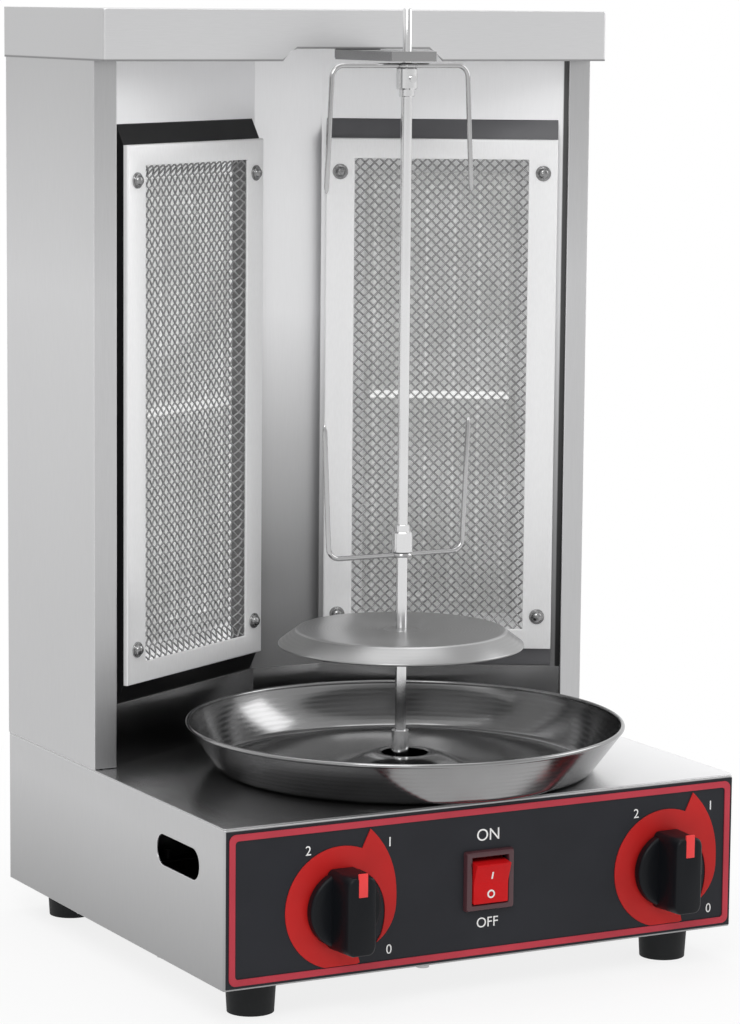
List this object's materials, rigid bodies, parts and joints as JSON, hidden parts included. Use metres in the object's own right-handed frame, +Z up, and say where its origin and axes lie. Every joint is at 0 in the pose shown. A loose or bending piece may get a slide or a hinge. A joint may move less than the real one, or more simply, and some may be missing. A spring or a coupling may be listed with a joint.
{
  "type": "electric skewer grill",
  "caption": "Upright countertop skewer grill with two infrared heater panels set in a V, a turning spit with clamp-on forks, a meat plate, a lift-out drip pan and a control panel.",
  "frame": {"origin": "middle of the whole object's box, on the floor under the feet", "axes": "+Z up, the front with the knobs faces -Y, +X to the right as seen from the front"},
  "size_m": [0.326, 0.332, 0.5415],
  "materials": {
    "case_steel": "satin",
    "deck_steel": "polished",
    "reflector_steel": "satin",
    "polished_steel": "polished",
    "frame_steel": "satin",
    "fastener_steel": "satin",
    "mesh_steel": "woven wire",
    "plate_steel": "turned",
    "black_enamel": "semi-gloss",
    "panel_black": "satin",
    "print_red": "printed film",
    "knob_black": "satin",
    "pointer_red": "gloss",
    "rocker_red": "translucent gloss",
    "bezel_smoke": "gloss",
    "switch_black": "matte",
    "rubber_black": "matte",
    "regulator_body": "matte",
    "bearing_brass": "turned",
    "motor_paint": "satin",
    "element_metal": "oxidised",
    "heater_ceramic": "matte",
    "lead_sleeve": "braided sleeve"
  },
  "bodies": {
    "housing": {"base_shell": "case_steel", "deck_plate": "deck_steel", "bottom_plate": "deck_steel", "foot_front_left": "rubber_black", "foot_front_right": "rubber_black", "foot_rear_left": "rubber_black", "foot_rear_right": "rubber_black", "foot_screws": "fastener_steel", "front_panel": "panel_black", "panel_border": "print_red", "power_marks": "print_red", "left_regulator": "regulator_body", "right_regulator": "regulator_body", "regulator_nuts": "fastener_steel", "switch_bezel": "bezel_smoke", "switch_body": "switch_black", "gear_motor": "motor_paint", "motor_bracket": "deck_steel", "deck_bush": "bearing_brass", "spit_bracket": "polished_steel", "left_side_panel": "case_steel", "right_side_panel": "case_steel", "back_panel": "case_steel", "cap": "case_steel", "liner": "reflector_steel", "lower_skirt": "black_enamel", "left_heater_box": "black_enamel", "right_heater_box": "black_enamel", "left_element": "element_metal", "right_element": "element_metal", "left_ceramic_plates": "heater_ceramic", "right_ceramic_plates": "heater_ceramic", "seam_strips": "frame_steel", "left_mesh": "mesh_steel", "right_mesh": "mesh_steel", "left_frame": "frame_steel", "right_frame": "frame_steel", "frame_bolts": "fastener_steel", "case_screws": "fastener_steel", "terminal_block": "regulator_body", "wiring": "lead_sleeve", "cord_gland": "switch_black"},
    "spit": {"motor_shaft": "polished_steel", "drive_hub": "polished_steel", "spit_rod": "polished_steel", "meat_plate": "plate_steel"},
    "upper_fork_clamp": {"upper_fork": "polished_steel", "upper_collar": "polished_steel", "upper_collar_screw": "fastener_steel"},
    "lower_fork_clamp": {"lower_fork": "polished_steel", "lower_collar": "polished_steel", "lower_collar_screw": "fastener_steel"},
    "left_power_knob": {"left_knob": "knob_black", "left_knob_pointer": "pointer_red", "left_regulator_shaft": "bearing_brass"},
    "right_power_knob": {"right_knob": "knob_black", "right_knob_pointer": "pointer_red", "right_regulator_shaft": "bearing_brass"},
    "rocker": {"switch_rocker": "rocker_red"},
    "pan": {"drip_pan": "polished_steel"}
  },
  "joints": [
    {"name": "spit_turn", "type": "hinge", "parent": "housing", "child": "spit", "pos_m": [0, -0.03805, 0.13], "axis": [0, 0, 1], "continuous": true},
    {"name": "upper_fork_slide", "type": "slide", "parent": "spit", "child": "upper_fork_clamp", "axis": [0, 0, 1], "range_m": [-0.11, 0]},
    {"name": "lower_fork_slide", "type": "slide", "parent": "spit", "child": "lower_fork_clamp", "axis": [0, 0, 1], "range_m": [-0.035, 0.11]},
    {"name": "left_knob_turn", "type": "hinge", "parent": "housing", "child": "left_power_knob", "pos_m": [-0.092, -0.13905, 0.059], "axis": [0, -1, 0], "range_deg": [0, 270]},
    {"name": "right_knob_turn", "type": "hinge", "parent": "housing", "child": "right_power_knob", "pos_m": [0.1165, -0.13905, 0.059], "axis": [0, -1, 0], "range_deg": [0, 270]},
    {"name": "rocker_tilt", "type": "hinge", "parent": "housing", "child": "rocker", "pos_m": [0, -0.13605, 0.0648], "axis": [1, 0, 0], "range_deg": [-18, 0]},
    {"name": "pan_lift", "type": "slide", "parent": "housing", "child": "pan", "axis": [0, 0, 1], "range_m": [0, 0.03]}
  ]
}
